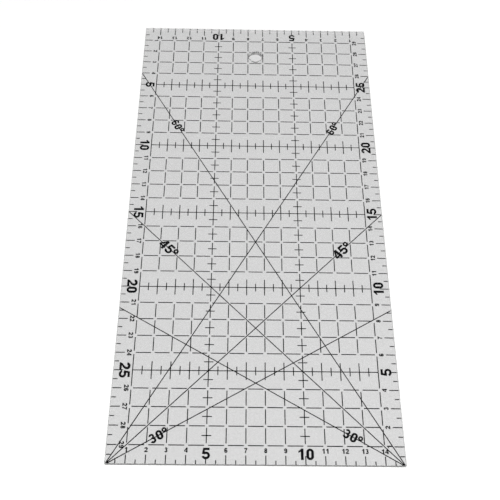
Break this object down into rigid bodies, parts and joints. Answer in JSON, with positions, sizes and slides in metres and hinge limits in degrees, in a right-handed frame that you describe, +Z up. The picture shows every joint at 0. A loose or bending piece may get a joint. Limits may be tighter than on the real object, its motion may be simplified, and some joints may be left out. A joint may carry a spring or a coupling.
{
  "type": "quilting ruler",
  "caption": "Clear acrylic quilting ruler with a black centimetre grid, 30, 45 and 60 degree cutting lines and a hang hole.",
  "frame": {"origin": "middle of the footprint, on the plane that the printed underside rests on", "axes": "+X across the ruler to the right as the near scale is read, +Y along the ruler towards the hang hole, +Z up, out of the bare top face"},
  "size_m": [0.15, 0.3, 0.003],
  "materials": {
    "acrylic": "clear cast acrylic with polished faces and saw-cut, lightly polished edges",
    "ink": "cured black screen-printing ink"
  },
  "bodies": {
    "root": {"acrylic_sheet": "acrylic", "near_edge_ticks": "ink", "far_edge_ticks": "ink", "left_edge_ticks": "ink", "right_edge_ticks": "ink", "near_small_numerals": "ink", "far_small_numerals": "ink", "left_small_numerals": "ink", "right_small_numerals": "ink", "near_large_numerals": "ink", "far_large_numerals": "ink", "left_large_numerals": "ink", "right_large_numerals": "ink", "margin_columns": "ink", "grid_columns": "ink", "five_cm_columns": "ink", "grid_rows": "ink", "five_cm_bars": "ink", "bar_ticks": "ink", "left_30_degree_line": "ink", "left_45_degree_line": "ink", "left_60_degree_line": "ink", "right_30_degree_line": "ink", "right_45_degree_line": "ink", "right_60_degree_line": "ink", "thirty_degree_labels": "ink", "forty_five_degree_labels": "ink", "sixty_degree_labels": "ink"}
  },
  "joints": []
}
